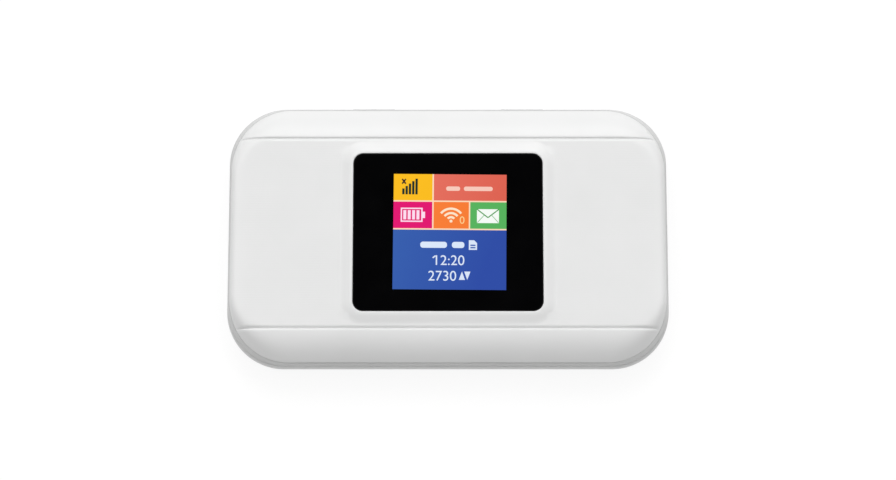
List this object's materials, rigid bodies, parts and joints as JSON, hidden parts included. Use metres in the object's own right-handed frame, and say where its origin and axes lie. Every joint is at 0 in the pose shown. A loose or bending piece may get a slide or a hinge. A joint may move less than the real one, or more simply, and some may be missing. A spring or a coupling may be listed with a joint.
{
  "type": "mobile hotspot",
  "caption": "Pocket mobile hotspot: rounded white case with a black window over a square colour display, clip-fit back cover, removable battery, side keys and a charging socket.",
  "frame": {"origin": "middle of the back cover's flat underside, which the hotspot lies on", "axes": "+X along the long side, to the right as the display is read; +Y towards the side with the keys and socket, the top of the display's picture; +Z out through the display"},
  "size_m": [0.1, 0.06, 0.0155],
  "materials": {
    "white_plastic": "satin moulded white plastic",
    "window_black": "glossy black-printed acrylic",
    "foam": "soft black foam",
    "display_glass": "thin display glass",
    "backlight_plastic": "white moulded plastic",
    "flex_film": "amber film",
    "board": "green solder mask",
    "steel": "pressed tinned steel",
    "chip": "moulded black epoxy",
    "black_plastic": "moulded black plastic",
    "gold": "gold-plated bronze",
    "battery_wrap": "dark printed wrap over an aluminium can",
    "ceramic": "fired chip ceramic"
  },
  "bodies": {
    "back_cover": {"back_cover": "white_plastic"},
    "main_unit": {"front_shell": "white_plastic", "mid_frame": "white_plastic", "display_window": "window_black", "window_gasket": "foam", "lcd_panel": "display_glass", "lcd_backlight": "backlight_plastic", "lcd_flex": "flex_film", "main_board": "board", "modem_shield": "steel", "modem_chip": "chip", "memory_chip": "chip", "wifi_shield": "steel", "wifi_chip": "chip", "power_shield": "steel", "power_chip": "chip", "wifi_antenna_1": "ceramic", "wifi_antenna_2": "ceramic", "lte_antenna_main": "gold", "lte_antenna_aux": "gold", "antenna_spring_1": "gold", "antenna_spring_2": "gold", "micro_usb_shell": "steel", "micro_usb_tongue": "black_plastic", "sim_cage": "steel", "sim_contacts": "black_plastic", "memory_card_cage": "steel", "memory_card_contacts": "black_plastic", "power_switch": "steel", "menu_switch": "steel", "reset_switch": "steel", "battery_connector": "black_plastic", "contact_spring_1": "gold", "contact_spring_2": "gold", "contact_spring_3": "gold", "case_screw_1": "steel", "case_screw_2": "steel", "case_screw_3": "steel", "case_screw_4": "steel"},
    "battery_pack": {"battery_cell": "battery_wrap", "battery_cap": "black_plastic", "battery_pad_1": "gold", "battery_pad_2": "gold", "battery_pad_3": "gold"},
    "power_key": {"power_button": "white_plastic", "power_plunger": "black_plastic"},
    "menu_key": {"menu_button": "white_plastic", "menu_plunger": "black_plastic"},
    "reset_key": {"reset_plunger": "black_plastic"}
  },
  "joints": [
    {"name": "cover_release", "type": "slide", "parent": "back_cover", "child": "main_unit", "axis": [0, 0, 1], "range_m": [0, 0.024]},
    {"name": "battery_removal", "type": "slide", "parent": "main_unit", "child": "battery_pack", "axis": [0, 0, -1], "range_m": [0, 0.012]},
    {"name": "power_press", "type": "slide", "parent": "main_unit", "child": "power_key", "axis": [0, -1, 0], "range_m": [0, 0.0003], "stiffness_N_per_m": 3000},
    {"name": "menu_press", "type": "slide", "parent": "main_unit", "child": "menu_key", "axis": [0, -1, 0], "range_m": [0, 0.0003], "stiffness_N_per_m": 3000},
    {"name": "reset_press", "type": "slide", "parent": "main_unit", "child": "reset_key", "axis": [0, 0, 1], "range_m": [0, 0.0002], "stiffness_N_per_m": 3000}
  ],
  "couplings": [
    {"joint": "battery_removal", "follows": "cover_release", "ratio": 0.5}
  ]
}
